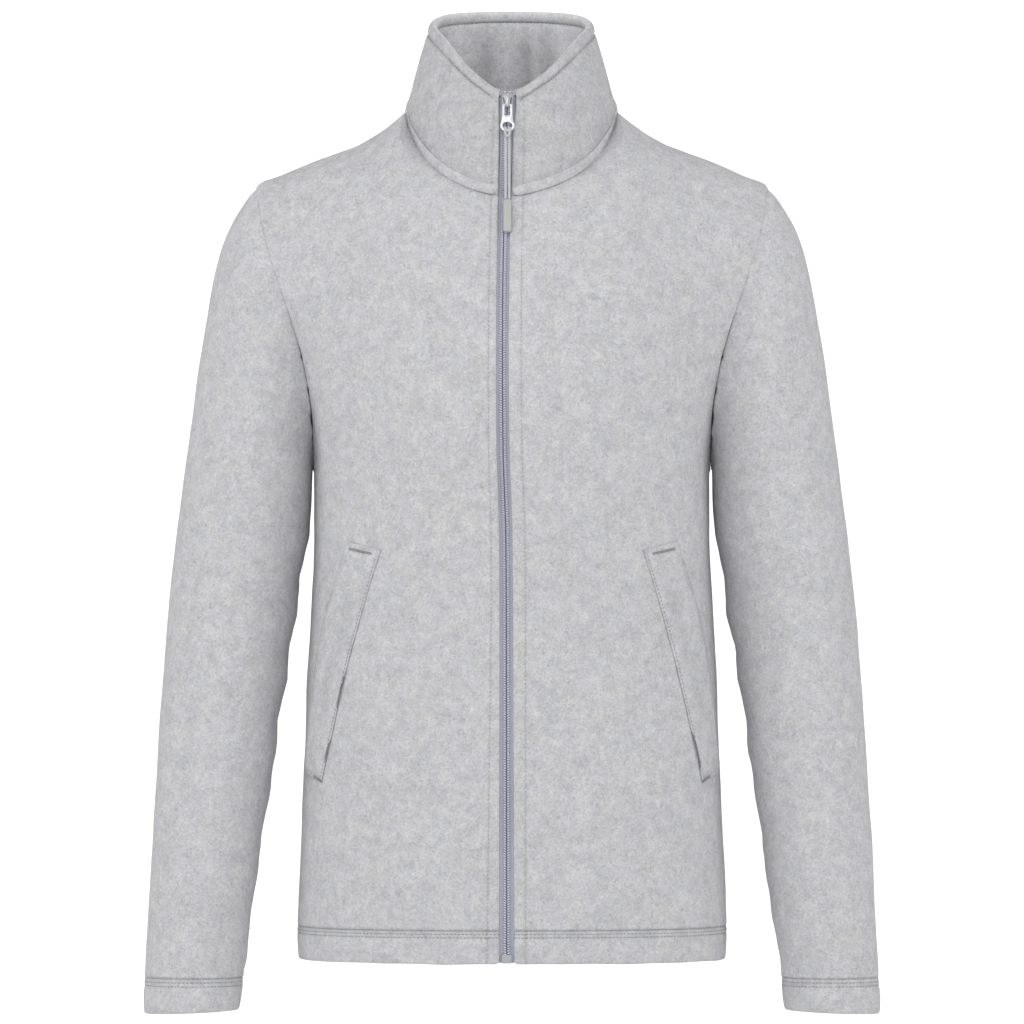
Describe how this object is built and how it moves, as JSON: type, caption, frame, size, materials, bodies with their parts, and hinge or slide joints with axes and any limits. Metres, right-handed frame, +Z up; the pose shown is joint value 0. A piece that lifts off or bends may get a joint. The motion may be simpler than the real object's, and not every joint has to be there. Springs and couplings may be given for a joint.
{
  "type": "fleece zip jacket",
  "caption": "Hollow fleece jacket with stand collar, full front zip, set-in sleeves and slanted welt pockets, filled out as worn.",
  "frame": {"origin": "midway between the neck ends of the two shoulder seams, where the wearer's shoulders hold the jacket up", "axes": "+Z up along the body, -Y out of the front where the zip is, +X towards the viewer's right; the sleeves mirror across X, the zip lies a few millimetres off the middle"},
  "size_m": [0.6172, 0.2659, 0.8424],
  "materials": {
    "fleece": "brushed heather-grey polyester fleece",
    "zip_tape": "woven polyester tape",
    "zip_coil": "nylon coil",
    "zip_metal": "pale lacquered die-cast metal",
    "puller_cord": "braided polyester cord",
    "puller_tip": "moulded soft plastic"
  },
  "bodies": {
    "garment": {"front_left": "fleece", "front_right": "fleece", "back": "fleece", "sleeve_left": "fleece", "sleeve_right": "fleece", "lower_sleeve_left": "fleece", "lower_sleeve_right": "fleece", "collar": "fleece", "pocket_welt_left": "fleece", "pocket_welt_right": "fleece", "zip_tape_left": "zip_tape", "zip_tape_right": "zip_tape", "zip_chain": "zip_coil", "zip_box": "zip_coil", "zip_stop_left": "zip_metal", "zip_stop_right": "zip_metal", "zip_slider": "zip_metal"},
    "zip_pull": {"zip_pull_tab": "zip_metal", "puller_cord": "puller_cord", "puller_tip": "puller_tip"}
  },
  "joints": [
    {"name": "pull_tab_hinge", "type": "hinge", "parent": "garment", "child": "zip_pull", "pos_m": [-0.0038, -0.091, 0.00715], "axis": [-1, 0, 0], "range_deg": [0, 150]}
  ]
}
